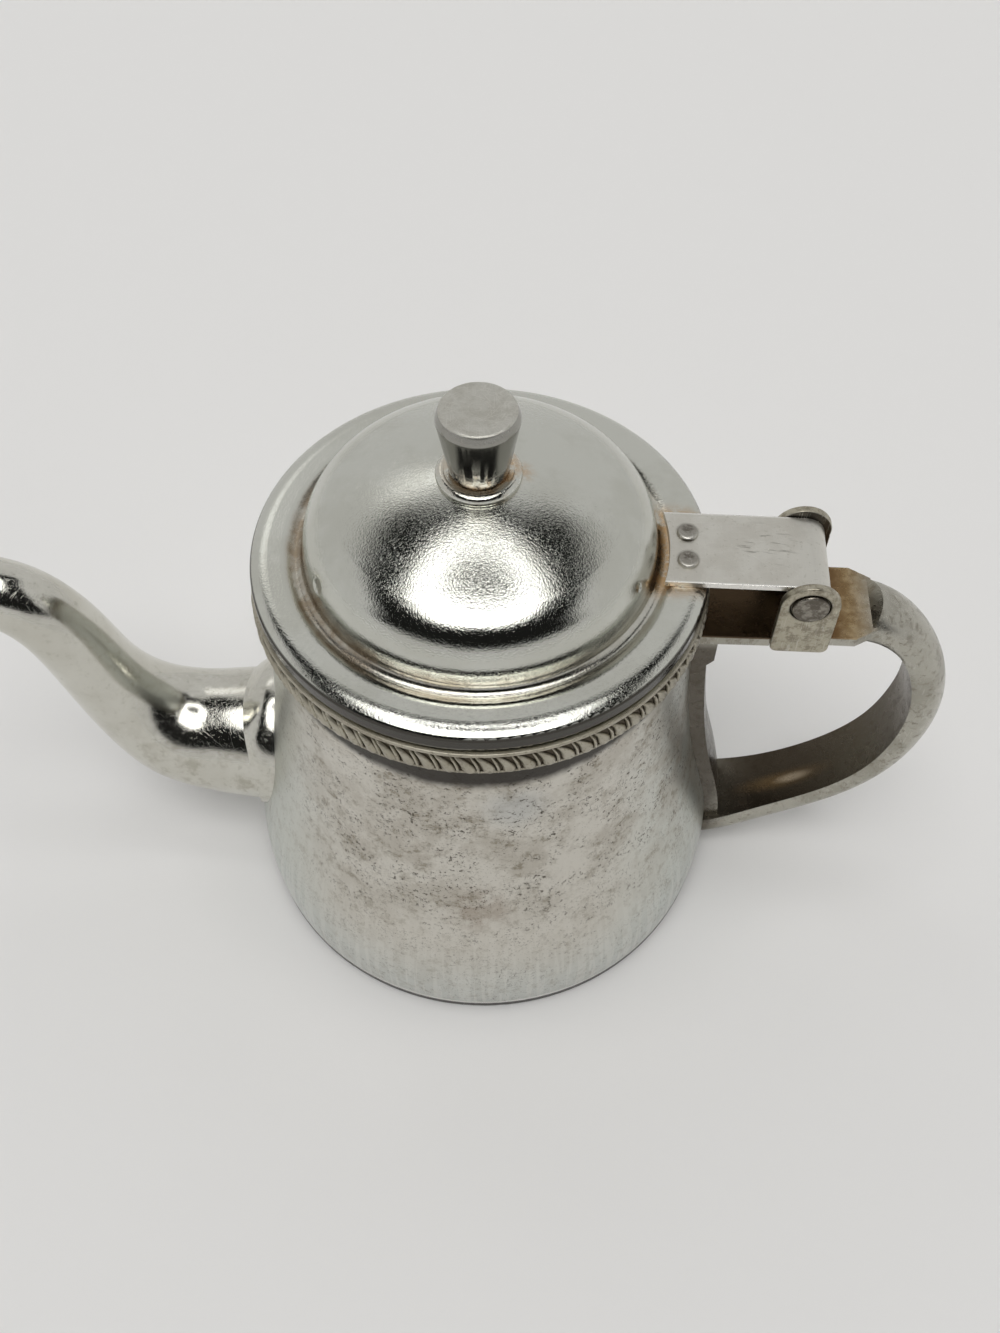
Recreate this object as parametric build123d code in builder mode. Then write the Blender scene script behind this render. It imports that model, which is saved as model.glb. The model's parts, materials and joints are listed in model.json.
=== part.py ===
from build123d import *
import math
import os

os.makedirs("parts", exist_ok=True)

# Syrup dispenser: a small hinged-lid pot with a gooseneck spout and a loop handle.
# Millimetres. The origin is the centre of the underside, +Z is up, the handle is
# towards +X, the spout towards -X, and the hinge pin lies along Y.

# ---- Pot body ----
pot_height = 79.95
wall = 1.0
base_thickness = 1.4
base_radius = 44.9
neck_radius = 36.2
belly_swell = 0.4
# Levels on the side are shares of the pot's height, widths are shares of the way
# from the neck's radius out to the base's radius.
belly_level = 0.1
flare_level = 0.24
flare_share = 0.9
waist_level = 0.41
waist_share = 0.51
chest_level = 0.625
chest_share = 0.17
neck_level = 0.85
base_edge_round = 0.6
base_step = 0.8
seat_clearance = 0.05

# ---- Gadroon band, a cast border below the mouth ----
band_height = 5.3
band_lip_height = 0.8
band_lip_proud = 1.1
band_bulge_proud = 1.5
band_foot_proud = 0.7
rib_pairs = 76
rib_lean = 28.0
deep_groove_radius = 0.6
deep_groove_depth = 0.5
fine_groove_radius = 0.35
fine_groove_depth = 0.28
fine_groove_share = 0.34

# ---- Lid: one spinning from the rolled bead to the boss under the knob ----
lid_gap = 0.3
lid_wall = 0.8
bead_radius = 0.95
lid_overhang = 0.8
ring_crest_height = 4.1
crest_width = 2.05
rim_slope_radius = 5.0
rim_slope_angle = 30.0
rim_edge_round = 0.9
valley_inset = 7.1
valley_height = 3.7
valley_lip_inset = 6.5
valley_wall_radius_gain = 0.2
valley_wall_height = 4.8
shoulder_inset = 8.8
shoulder_height = 6.8
dome_turn_inset = 14.5
dome_turn_height = 14.6
dome_height = 19.6
boss_radius = 6.5
boss_height = 1.5
boss_edge_inset = 1.2
boss_side_share = 0.7

# ---- Lid collar, the ring that sits inside the mouth ----
collar_depth = 5.5
collar_wall = 0.8
mouth_clearance = 0.7

# ---- Knob and its screw ----
knob_foot_radius = 4.55
knob_crown_radius = 6.35
knob_face_radius = 5.75
knob_height = 11.95
knob_chamfer_height = 1.4
screw_radius = 2.0
screw_clearance = 0.05
screw_reach = 7.0
screw_tip_gap = 1.0
screw_head_radius = 3.6
screw_head_height = 2.2
screw_slot_width = 0.9
screw_slot_depth = 1.0
washer_radius = 4.4
washer_thickness = 0.7

# ---- Hinge: leaf, rivets, ears and pin ----
hinge_reach = 15.4
leaf_thickness = 1.1
leaf_width = 14.6
leaf_end_gap = 0.3
leaf_start_share = 0.9
pin_radius = 2.25
pin_clearance = 0.05
knuckle_seam = 0.6
ear_thickness = 1.3
ear_width = 9.4
ear_drop = 2.7
ear_side_gap = 0.15
ear_corner_round = 1.3
pin_head_radius = 2.9
pin_head_gap = 0.3
pin_head_sink = 0.5
pin_head_height = 0.9
pin_head_round = 0.35
rivet_spacing = 5.7
rivet_inset = 3.95
rivet_radius = 1.1
rivet_head_radius = 1.7
rivet_head_height = 0.6
rivet_head_round = 0.45

# ---- Handle: bar, loop and strap ----
bar_drop = 6.65
bar_thickness = 2.2
bar_root_width = 16.6
bar_waist_width = 16.2
bar_shoulder_reach = 9.3
bar_tip_reach = 12.8
bar_tip_width = 10.8
flat_end_reach = 12.1
crown_height = 6.0
loop_depth = 29.6
loop_bury = 4.0
loop_root_height = 9.6
loop_flank_share = 0.34
loop_flat_share = 0.9
strap_thickness = 2.7
strap_width = 12.0
strap_bottom = 9.0
lug_depth = 9.9
lug_proud = 3.7
lug_taper = 4.7
# Stations of the loop's inner face, from the bar round to the body: shares of the
# loop's depth and height, then half the width and the thickness of the section there.
loop_stations = [
    (0.45, 0.99, 6.4, 6.9),
    (0.61, 0.985, 5.9, 6.2),
    (0.771, 0.959, 5.8, 5.3),
    (0.955, 0.836, 5.7, 5.7),
    (1.039, 0.663, 5.9, 6.6),
    (1.021, 0.491, 6.2, 6.9),
    (0.908, 0.322, 6.4, 6.6),
    (0.673, 0.179, 6.5, 6.5),
    (0.429, 0.088, 6.8, 6.3),
    (0.179, 0.021, 7.8, 5.7),
    (0.0, 0.0, 8.0, 5.5),
]

# ---- Spout and its saddle ----
spout_base_height = 24.4
spout_seam_gap = 0.3
spout_seam_radius = 34.0
spout_reach = 50.0
spout_rise = 44.6
spout_bury = 2.8
spout_tip_angle = 15.0
spout_wall = 1.3
spout_hole_radius = 10.0
saddle_lip_radius = 13.4
# Stations of the saddle's flare: shares of the way from its lip in to the neck's radius,
# then the growth of its radius there. The centre rises as much: the underside stays level.
saddle_stations = [
    (0.0, 0.0),
    (0.17, 0.6),
    (0.36, 1.2),
    (0.62, 1.5),
    (1.0, 1.6),
]
# Stations of the gooseneck's centre line, from its buried end to the mouth: shares of
# the reach and the rise, then the radius of the section there.
spout_stations = [
    (0.0, 0.0, 13.0),
    (0.05, 0.0, 12.95),
    (0.186, 0.007, 12.2),
    (0.347, 0.07, 11.0),
    (0.447, 0.195, 9.2),
    (0.536, 0.397, 7.55),
    (0.617, 0.69, 6.85),
    (0.735, 0.89, 6.35),
    (0.879, 0.962, 5.8),
    (1.0, 1.0, 5.5),
]

# ---- Worked out from the values above ----
belly_radius = base_radius + belly_swell
mouth_radius = neck_radius - wall
band_bottom = pot_height - band_height
lip_bottom = pot_height - band_lip_height
band_lip_radius = neck_radius + band_lip_proud
band_bulge_radius = neck_radius + band_bulge_proud
band_foot_radius = neck_radius + band_foot_proud
band_middle = (band_bottom + lip_bottom) / 2
rib_pitch_angle = 360 / rib_pairs
lid_seat = pot_height + lid_gap
bead_outer_radius = neck_radius + lid_overhang
bead_center = (bead_outer_radius - bead_radius, lid_seat + bead_radius)
rim_slope_share = math.sin(math.radians(rim_slope_angle))
rim_width = rim_slope_radius * rim_slope_share + rim_edge_round * (1 - rim_slope_share)
crest_outer_radius = bead_outer_radius - rim_width
crest_inner_radius = crest_outer_radius - crest_width
valley_radius = bead_outer_radius - valley_inset
valley_lip_radius = bead_outer_radius - valley_lip_inset
shoulder_radius = bead_outer_radius - shoulder_inset
dome_turn_radius = bead_outer_radius - dome_turn_inset
collar_radius = mouth_radius - mouth_clearance
knob_seat = lid_seat + dome_height + boss_height
screw_head_top = knob_seat - lid_wall - washer_thickness
leaf_bottom = lid_seat + ring_crest_height
leaf_top = leaf_bottom + leaf_thickness
leaf_end_radius = valley_radius + leaf_end_gap
rivet_hole_radius = rivet_radius + pin_clearance
rivet_place = (bead_outer_radius - rivet_inset, rivet_spacing / 2)
pin_hole_radius = pin_radius + pin_clearance
knuckle_radius = pin_hole_radius + leaf_thickness
hinge_x = bead_outer_radius + hinge_reach
hinge_z = leaf_top - knuckle_radius
ear_inner = leaf_width / 2 + ear_side_gap
ear_outer = ear_inner + ear_thickness
ear_radius = ear_width / 2
bar_top = pot_height - bar_drop
bar_bottom = bar_top - bar_thickness
ear_bottom = bar_top - ear_drop
flat_end_x = hinge_x + flat_end_reach
loop_root = (belly_radius - loop_bury, loop_root_height)
loop_reach = loop_depth + loop_bury
loop_rise = bar_bottom - loop_root_height
saddle_lip_x = -belly_radius - spout_seam_gap
spout_root = (saddle_lip_x + spout_bury, spout_base_height)


def side_radius(share):
    """Radius on the pot's side, from its share of the way from the neck to the base."""
    return neck_radius + share * (base_radius - neck_radius)


def body_outline(grow):
    """Side line of the pot body, moved out by grow, as a spline from the base to the mouth."""
    return Spline(
        (base_radius + grow, base_thickness),
        (belly_radius + grow, belly_level * pot_height),
        (side_radius(flare_share) + grow, flare_level * pot_height),
        (side_radius(waist_share) + grow, waist_level * pot_height),
        (side_radius(chest_share) + grow, chest_level * pot_height),
        (neck_radius + grow, neck_level * pot_height),
        (neck_radius + grow, pot_height),
    )


def body_form(grow):
    """The full turned form of the pot, moved out by grow, used to shape what is soldered on."""
    with BuildPart() as form:
        with BuildSketch(Plane.XZ):
            with BuildLine():
                side = body_outline(grow)
                Polyline(side @ 1, (0, pot_height), (0, base_thickness), side @ 0)
            make_face()
        revolve(axis=Axis.Z)
    return form.part


def along(root, reach, rise, share):
    """A point in the XZ plane, from its shares of the reach and the rise past the root."""
    return (root[0] + share[0] * reach, root[1] + share[1] * rise)


def gooseneck(shrink):
    """Loft of round sections along the spout's centre line, each smaller by shrink."""
    places = [along(spout_root, -(spout_reach + spout_bury), spout_rise, s[:2]) for s in spout_stations]
    tip_angle = math.radians(spout_tip_angle)
    with BuildLine(Plane.XZ) as center_line:
        Spline(places, tangents=((-1, 0), (-math.cos(tip_angle), math.sin(tip_angle))))
    center_edge = center_line.edges()[0]
    with BuildPart() as tube:
        for (x, z), station in zip(places, spout_stations):
            heading = center_edge.tangent_at(Vector(x, 0, z))
            with BuildSketch(Plane((x, 0, z), x_dir=(0, 1, 0), z_dir=heading)):
                Circle(station[2] - shrink)
        loft()
    return tube.part


def seam_form():
    """An upright drum whose side is the seam between the spout and its saddle."""
    with BuildPart() as drum:
        with Locations((saddle_lip_x + spout_seam_radius, 0, 0)):
            Cylinder(spout_seam_radius, 2 * pot_height)
    return drum.part


# Forms that shape the pieces below. None of these is a piece itself.
pot_form = body_form(0)
strap_form = body_form(strap_thickness)
spout_outside = gooseneck(0)
spout_bore = gooseneck(spout_wall)
seam_drum = seam_form()

# Body shell: open at the top, seated on the base disc, with one hole into the spout.
with BuildPart() as body_shell:
    with BuildSketch(Plane.XZ):
        with BuildLine():
            outside = body_outline(0)
            inside = body_outline(-wall)
            Line(outside @ 0, inside @ 0)
            Line(outside @ 1, inside @ 1)
        make_face()
    revolve(axis=Axis.Z)
    with BuildSketch(Plane.YZ):
        with Locations((0, spout_base_height)):
            Circle(spout_hole_radius)
    extrude(amount=-2 * belly_radius, mode=Mode.SUBTRACT)
body_shell.part.label = "body_shell"
export_step(body_shell.part, "parts/body_shell.step")

# Base disc: a flat plate whose rounded edge shows as a thin line under the shell.
with BuildPart() as base_disc:
    with BuildSketch():
        Circle(base_radius)
    extrude(amount=base_thickness)
    fillet(base_disc.edges().group_by(Axis.Z)[0], base_edge_round)
    with BuildSketch(Plane.XY.offset(base_thickness)):
        Circle(base_radius - wall - seat_clearance - base_step)
    extrude(amount=base_step)
base_disc.part.label = "base_disc"
export_step(base_disc.part, "parts/base_disc.step")

# Gadroon band: a plain lip over a bulged border of ribs, in pairs of one wide and one thin.
with BuildPart() as gadroon_band:
    with BuildSketch(Plane.XZ):
        with BuildLine():
            Polyline(
                (band_lip_radius, lip_bottom),
                (band_lip_radius, pot_height),
                (neck_radius - wall / 2, pot_height),
                (neck_radius - wall / 2, band_bottom),
                (band_foot_radius, band_bottom),
            )
            ThreePointArc(
                (band_foot_radius, band_bottom),
                (band_bulge_radius, band_middle),
                (band_lip_radius, lip_bottom),
            )
        make_face()
    revolve(axis=Axis.Z)
    add(pot_form, mode=Mode.SUBTRACT)
    slant = math.cos(math.radians(rib_lean))
    with Locations((0, 0, band_middle)):
        with PolarLocations(band_bulge_radius + deep_groove_radius - deep_groove_depth, rib_pairs):
            Cylinder(
                deep_groove_radius,
                (lip_bottom - band_bottom) / slant - deep_groove_radius,
                rotation=(rib_lean, 0, 0),
                mode=Mode.SUBTRACT,
            )
        with PolarLocations(
            band_bulge_radius + fine_groove_radius - fine_groove_depth,
            rib_pairs,
            start_angle=fine_groove_share * rib_pitch_angle,
        ):
            Cylinder(
                fine_groove_radius,
                (lip_bottom - band_bottom) / slant - deep_groove_radius,
                rotation=(rib_lean, 0, 0),
                mode=Mode.SUBTRACT,
            )
gadroon_band.part.label = "gadroon_band"
export_step(gadroon_band.part, "parts/gadroon_band.step")

# Lid form: rolled bead, raised ring, a valley, the steep-sided dome and a small boss.
with BuildPart() as lid_form:
    with BuildSketch(Plane.XZ):
        with BuildLine():
            crest = Line((crest_outer_radius, leaf_bottom), (crest_inner_radius, leaf_bottom))
            slope = JernArc(crest @ 0, (1, 0), rim_slope_radius, -rim_slope_angle)
            edge = JernArc(slope @ 1, slope % 1, rim_edge_round, rim_slope_angle - 90)
            Line(edge @ 1, (bead_outer_radius, bead_center[1]))
            inner_edge = TangentArc(
                crest @ 1,
                (valley_lip_radius, lid_seat + valley_height),
                tangent=(-1, 0),
            )
            valley = TangentArc(
                inner_edge @ 1,
                (shoulder_radius + valley_wall_radius_gain, lid_seat + valley_wall_height),
                tangent=inner_edge % 1,
            )
            side = Line(valley @ 1, (shoulder_radius, lid_seat + shoulder_height))
            shoulder = TangentArc(
                side @ 1,
                (dome_turn_radius, lid_seat + dome_turn_height),
                tangent=side % 1,
            )
            crown = TangentArc(
                shoulder @ 1,
                (boss_radius, lid_seat + dome_height),
                tangent=shoulder % 1,
            )
            boss = ThreePointArc(
                crown @ 1,
                (boss_radius, lid_seat + dome_height + boss_height * boss_side_share),
                (boss_radius - boss_edge_inset, knob_seat),
            )
            Line(boss @ 1, (screw_radius + screw_clearance, knob_seat))
            offset(amount=lid_wall, side=Side.LEFT)
        make_face()
        with Locations(bead_center):
            Circle(bead_radius)
    revolve(axis=Axis.Z)

# Lid shell: the spun form with two rivet holes through the ring.
with BuildPart() as lid_shell:
    add(lid_form.part)
    with BuildSketch(Plane.XY.offset(leaf_bottom)):
        with Locations(rivet_place, (rivet_place[0], -rivet_place[1])):
            Circle(rivet_hole_radius)
    extrude(amount=-2 * lid_wall, mode=Mode.SUBTRACT)
lid_shell.part.label = "lid_shell"
export_step(lid_shell.part, "parts/lid_shell.step")

# Lid collar: a short ring soldered under the lid that keeps it centred in the mouth.
with BuildPart() as lid_collar:
    with BuildSketch(Plane.XY.offset(lid_seat - collar_depth)):
        Circle(collar_radius)
        Circle(collar_radius - collar_wall, mode=Mode.SUBTRACT)
    extrude(until=Until.NEXT, target=lid_form.part)
lid_collar.part.label = "lid_collar"
export_step(lid_collar.part, "parts/lid_collar.step")

# Knob: a turned taper, wider at the crown, bored and threaded from below.
with BuildPart() as knob:
    with BuildSketch(Plane.XZ):
        with BuildLine():
            Polyline(
                (0, knob_seat),
                (knob_foot_radius, knob_seat),
                (knob_crown_radius, knob_seat + knob_height - knob_chamfer_height),
                (knob_face_radius, knob_seat + knob_height),
                (0, knob_seat + knob_height),
                (0, knob_seat),
            )
        make_face()
    revolve(axis=Axis.Z)
    with BuildSketch(Plane.XY.offset(knob_seat)):
        Circle(screw_radius + screw_clearance)
    extrude(amount=screw_reach + screw_tip_gap, mode=Mode.SUBTRACT)
knob.part.label = "knob"
export_step(knob.part, "parts/knob.step")

# Knob washer: spreads the screw's pull under the lid.
with BuildPart() as knob_washer:
    with BuildSketch(Plane.XY.offset(screw_head_top)):
        Circle(washer_radius)
        Circle(screw_radius + screw_clearance, mode=Mode.SUBTRACT)
    extrude(amount=washer_thickness)
knob_washer.part.label = "knob_washer"
export_step(knob_washer.part, "parts/knob_washer.step")

# Knob screw: a slotted cheese head below the washer, its shank up inside the knob.
with BuildPart() as knob_screw:
    with BuildSketch(Plane.XY.offset(screw_head_top - screw_head_height)):
        Circle(screw_head_radius)
    extrude(amount=screw_head_height)
    with BuildSketch(Plane.XY.offset(screw_head_top)):
        Circle(screw_radius)
    extrude(amount=washer_thickness + lid_wall + screw_reach)
    with BuildSketch(Plane.XY.offset(screw_head_top - screw_head_height)):
        Rectangle(2 * washer_radius, screw_slot_width)
    extrude(amount=screw_slot_depth, mode=Mode.SUBTRACT)
knob_screw.part.label = "knob_screw"
export_step(knob_screw.part, "parts/knob_screw.step")

# Hinge leaf: a flat strap, hollowed at one end to follow the dome and rolled round the pin.
with BuildPart() as hinge_leaf:
    leaf_start = leaf_end_radius * leaf_start_share
    with BuildSketch(Plane.XY.offset(leaf_bottom)):
        with Locations(((leaf_start + hinge_x) / 2, 0)):
            Rectangle(hinge_x - leaf_start, leaf_width)
        Circle(leaf_end_radius, mode=Mode.SUBTRACT)
        with Locations(rivet_place, (rivet_place[0], -rivet_place[1])):
            Circle(rivet_hole_radius, mode=Mode.SUBTRACT)
    extrude(amount=leaf_thickness)
    with BuildSketch(Plane.XZ.offset(-leaf_width / 2)):
        with Locations((hinge_x, hinge_z)):
            Circle(knuckle_radius)
    extrude(amount=leaf_width)
    with BuildSketch(Plane.XZ.offset(-leaf_width / 2)):
        with Locations((hinge_x, hinge_z)):
            Circle(pin_hole_radius)
        with Locations((hinge_x - knuckle_radius / 2, leaf_bottom - knuckle_seam / 2)):
            Rectangle(knuckle_radius, knuckle_seam)
    extrude(amount=leaf_width, mode=Mode.SUBTRACT)
hinge_leaf.part.label = "hinge_leaf"
export_step(hinge_leaf.part, "parts/hinge_leaf.step")

# Leaf rivets: a low domed head on the leaf and a shank closed flush under the ring.
with BuildPart() as leaf_rivet_rear:
    with BuildSketch(Plane.XY.offset(leaf_bottom - lid_wall)):
        with Locations(rivet_place):
            Circle(rivet_radius)
    extrude(amount=lid_wall + leaf_thickness)
    with BuildSketch(Plane.XY.offset(leaf_top)):
        with Locations(rivet_place):
            Circle(rivet_head_radius)
    extrude(amount=rivet_head_height)
    fillet(leaf_rivet_rear.edges().group_by(Axis.Z)[-1], rivet_head_round)
leaf_rivet_rear.part.label = "leaf_rivet_rear"
export_step(leaf_rivet_rear.part, "parts/leaf_rivet_rear.step")

with BuildPart() as leaf_rivet_front:
    mirror(leaf_rivet_rear.part, about=Plane.XZ)
leaf_rivet_front.part.label = "leaf_rivet_front"
export_step(leaf_rivet_front.part, "parts/leaf_rivet_front.step")

# Hinge ears: plates with round tops, soldered to the bar's flanks, each with a sinking
# round the pin's head.
with BuildPart() as hinge_ear_rear:
    with BuildSketch(Plane.XZ.offset(-ear_inner)):
        with Locations((hinge_x, (ear_bottom + hinge_z) / 2)):
            plate = Rectangle(ear_width, hinge_z - ear_bottom)
        fillet(plate.vertices().group_by(Axis.Z)[0], ear_corner_round)
        with Locations((hinge_x, hinge_z)):
            Circle(ear_radius)
            Circle(pin_hole_radius, mode=Mode.SUBTRACT)
    extrude(amount=-ear_thickness)
    with BuildSketch(Plane.XZ.offset(-ear_outer)):
        with Locations((hinge_x, hinge_z)):
            Circle(pin_head_radius + pin_head_gap)
    extrude(amount=pin_head_sink, mode=Mode.SUBTRACT)
hinge_ear_rear.part.label = "hinge_ear_rear"
export_step(hinge_ear_rear.part, "parts/hinge_ear_rear.step")

with BuildPart() as hinge_ear_front:
    mirror(hinge_ear_rear.part, about=Plane.XZ)
hinge_ear_front.part.label = "hinge_ear_front"
export_step(hinge_ear_front.part, "parts/hinge_ear_front.step")

# Hinge pin: a plain rod with a low head riveted over in each ear's sinking.
with BuildPart() as hinge_pin:
    head_start = ear_outer - pin_head_sink
    with BuildSketch(Plane.XZ.offset(-head_start)):
        with Locations((hinge_x, hinge_z)):
            Circle(pin_radius)
    extrude(amount=2 * head_start)
    for side_sign in (-1, 1):
        with BuildSketch(Plane.XZ.offset(-side_sign * head_start)):
            with Locations((hinge_x, hinge_z)):
                Circle(pin_head_radius)
        extrude(amount=-side_sign * pin_head_height)
    fillet(hinge_pin.edges().group_by(Axis.Y)[0], pin_head_round)
    fillet(hinge_pin.edges().group_by(Axis.Y)[-1], pin_head_round)
hinge_pin.part.label = "hinge_pin"
export_step(hinge_pin.part, "parts/hinge_pin.step")

# Strap: the plate down the body between the handle's two ends, with a lug under the bar.
with BuildPart() as strap:
    add(strap_form)
    with BuildSketch(Plane.YZ):
        with Locations((0, (strap_bottom + bar_top) / 2)):
            Rectangle(strap_width, bar_top - strap_bottom)
    extrude(amount=2 * belly_radius, mode=Mode.INTERSECT)
    with BuildSketch(Plane.XZ.offset(-strap_width / 2)):
        with BuildLine():
            Polyline(
                (mouth_radius, bar_top),
                (neck_radius + lug_proud, bar_top),
                (neck_radius + lug_proud, bar_top - lug_depth),
                (neck_radius, bar_top - lug_depth - lug_taper),
                (mouth_radius, bar_top - lug_depth - lug_taper),
                close=True,
            )
        make_face()
    extrude(amount=strap_width)

# Line that the loop's sections stand on.
loop_places = [along(loop_root, loop_reach, loop_rise, s[:2]) for s in loop_stations]
with BuildLine(Plane.XZ) as loop_line:
    Spline(loop_places)
loop_edge = loop_line.edges()[0]

# Handle: a D-section loop under a flat bar that carries the hinge, and the strap.
with BuildPart() as handle:
    for (x, z), station in zip(loop_places, loop_stations):
        half_width = station[2]
        thickness = station[3]
        heading = loop_edge.tangent_at(Vector(x, 0, z))
        with BuildSketch(Plane((x, 0, z), x_dir=(0, 1, 0), z_dir=heading)):
            with BuildLine():
                flat = loop_flat_share * half_width
                flank = loop_flank_share * thickness
                Line((-flat, 0), (flat, 0))
                Spline((flat, 0), (half_width, flank), (0, thickness), (-half_width, flank), (-flat, 0))
            make_face()
    loft()
    with BuildSketch(Plane.XZ.offset(-bar_root_width)):
        with BuildLine():
            Polyline(
                (neck_radius, bar_top),
                (flat_end_x, bar_top),
                (flat_end_x + crown_height, bar_top + crown_height),
                (neck_radius, bar_top + crown_height),
                close=True,
            )
        make_face()
    extrude(amount=2 * bar_root_width, mode=Mode.SUBTRACT)
    with BuildSketch(Plane.XY.offset(bar_bottom)):
        with BuildLine():
            Polyline(
                (mouth_radius, 0),
                (mouth_radius, bar_root_width / 2),
                (hinge_x - ear_radius, bar_waist_width / 2),
                (hinge_x - ear_radius, ear_inner),
                (hinge_x + bar_shoulder_reach, ear_inner),
                (hinge_x + bar_tip_reach, bar_tip_width / 2),
                (hinge_x + bar_tip_reach, 0),
                close=True,
            )
        make_face()
        mirror(about=Plane.XZ)
    extrude(amount=bar_thickness)
    add(strap.part)
    add(pot_form, mode=Mode.SUBTRACT)
handle.part.label = "handle"
export_step(handle.part, "parts/handle.step")

# Spout: a hollow gooseneck, its wide end cut to an upright round so that it follows the pot.
with BuildPart() as spout:
    add(spout_outside)
    add(spout_bore, mode=Mode.SUBTRACT)
    add(seam_drum, mode=Mode.SUBTRACT)
spout.part.label = "spout"
export_step(spout.part, "parts/spout.step")

# Spout saddle: the flared collar that fits the spout's end to the slope of the body.
with BuildPart() as spout_saddle:
    for share, growth in saddle_stations:
        x = saddle_lip_x - share * (saddle_lip_x + neck_radius)
        center = (x, 0, spout_base_height + growth)
        with BuildSketch(Plane(center, x_dir=(0, 1, 0), z_dir=(1, 0, 0))):
            Circle(saddle_lip_radius + growth)
    loft()
    add(pot_form, mode=Mode.SUBTRACT)
    add(seam_drum, mode=Mode.INTERSECT)
    with BuildSketch(Plane.YZ):
        with Locations((0, spout_base_height)):
            Circle(spout_hole_radius)
    extrude(amount=-2 * belly_radius, mode=Mode.SUBTRACT)
spout_saddle.part.label = "spout_saddle"
export_step(spout_saddle.part, "parts/spout_saddle.step")
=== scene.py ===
import json
import math

import bmesh
import bpy
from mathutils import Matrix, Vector


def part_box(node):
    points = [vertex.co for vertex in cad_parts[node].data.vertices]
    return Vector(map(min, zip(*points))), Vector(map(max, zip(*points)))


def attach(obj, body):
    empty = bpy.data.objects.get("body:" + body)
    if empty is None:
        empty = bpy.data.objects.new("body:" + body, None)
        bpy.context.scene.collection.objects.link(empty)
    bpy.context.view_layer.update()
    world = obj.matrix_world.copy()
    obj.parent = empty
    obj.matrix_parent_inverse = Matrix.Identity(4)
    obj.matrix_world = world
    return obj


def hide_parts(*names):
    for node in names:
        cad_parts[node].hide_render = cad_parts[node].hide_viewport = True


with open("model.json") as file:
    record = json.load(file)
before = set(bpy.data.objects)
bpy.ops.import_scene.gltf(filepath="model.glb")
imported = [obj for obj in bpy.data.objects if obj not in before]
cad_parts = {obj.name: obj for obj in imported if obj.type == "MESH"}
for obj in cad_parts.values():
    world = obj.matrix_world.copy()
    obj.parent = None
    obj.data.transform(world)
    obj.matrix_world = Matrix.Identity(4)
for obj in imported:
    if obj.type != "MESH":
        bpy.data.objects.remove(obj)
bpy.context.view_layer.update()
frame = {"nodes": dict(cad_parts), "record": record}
nodes = frame["nodes"]
mm = 0.001


# Node trees: sockets that take part in plain arithmetic, and one method that makes any node.

class Wire:
    def __init__(self, maker, socket):
        self.maker = maker
        self.socket = socket

    def calc(self, operation, first, second=0.0):
        return self.maker.calc(operation, first, second)

    def __add__(self, other):
        return self.calc("ADD", self, other)

    def __radd__(self, other):
        return self.calc("ADD", other, self)

    def __sub__(self, other):
        return self.calc("SUBTRACT", self, other)

    def __rsub__(self, other):
        return self.calc("SUBTRACT", other, self)

    def __mul__(self, other):
        return self.calc("MULTIPLY", self, other)

    def __rmul__(self, other):
        return self.calc("MULTIPLY", other, self)

    def __truediv__(self, other):
        return self.calc("DIVIDE", self, other)

    def __rtruediv__(self, other):
        return self.calc("DIVIDE", other, self)

    def __pow__(self, other):
        return self.calc("POWER", self, other)

    def __neg__(self):
        return self.calc("MULTIPLY", self, -1.0)

    def __abs__(self):
        return self.calc("ABSOLUTE", self)

    def most(self, other):
        return self.calc("MAXIMUM", self, other)

    def least(self, other):
        return self.calc("MINIMUM", self, other)

    def sine(self):
        return self.calc("SINE", self)

    def cosine(self):
        return self.calc("COSINE", self)

    def lifted(self, floor):  # a mask that is never below the floor
        return self * (1.0 - floor) + floor


def reach(first, second):  # distance from two legs at right angles
    return (first ** 2.0 + second ** 2.0) ** 0.5


class NodeMaker:
    def __init__(self, tree):
        self.tree = tree

    def feed(self, socket, value):
        if isinstance(value, Wire):
            self.tree.links.new(value.socket, socket)
        else:
            socket.default_value = value

    def node(self, kind, settings=None, values=None, out=0):
        made = self.tree.nodes.new(kind)
        for key, setting in (settings or {}).items():
            setattr(made, key, setting)
        for key, value in (values or {}).items():
            self.feed(made.inputs[key], value)
        return Wire(self, made.outputs[out]) if made.outputs else None

    def calc(self, operation, first, second=0.0):
        return self.node("ShaderNodeMath", {"operation": operation}, {0: first, 1: second})

    def point(self, x, y, z):
        return self.node("ShaderNodeCombineXYZ", None, {0: x, 1: y, 2: z})

    def split(self, vector):
        made = self.node("ShaderNodeSeparateXYZ", None, {0: vector})
        return [Wire(self, socket) for socket in made.socket.node.outputs]

    def ease(self, value, low, high, toLow=0.0, toHigh=1.0):  # a smooth step from low to high
        return self.node(
            "ShaderNodeMapRange",
            {"interpolation_type": "SMOOTHSTEP"},
            {0: value, 1: low, 2: high, 3: toLow, 4: toHigh},
        )

    def fade(self, value, low, high):  # all of it up to low, none of it past high
        return self.ease(value, low, high, 1.0, 0.0)


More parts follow.
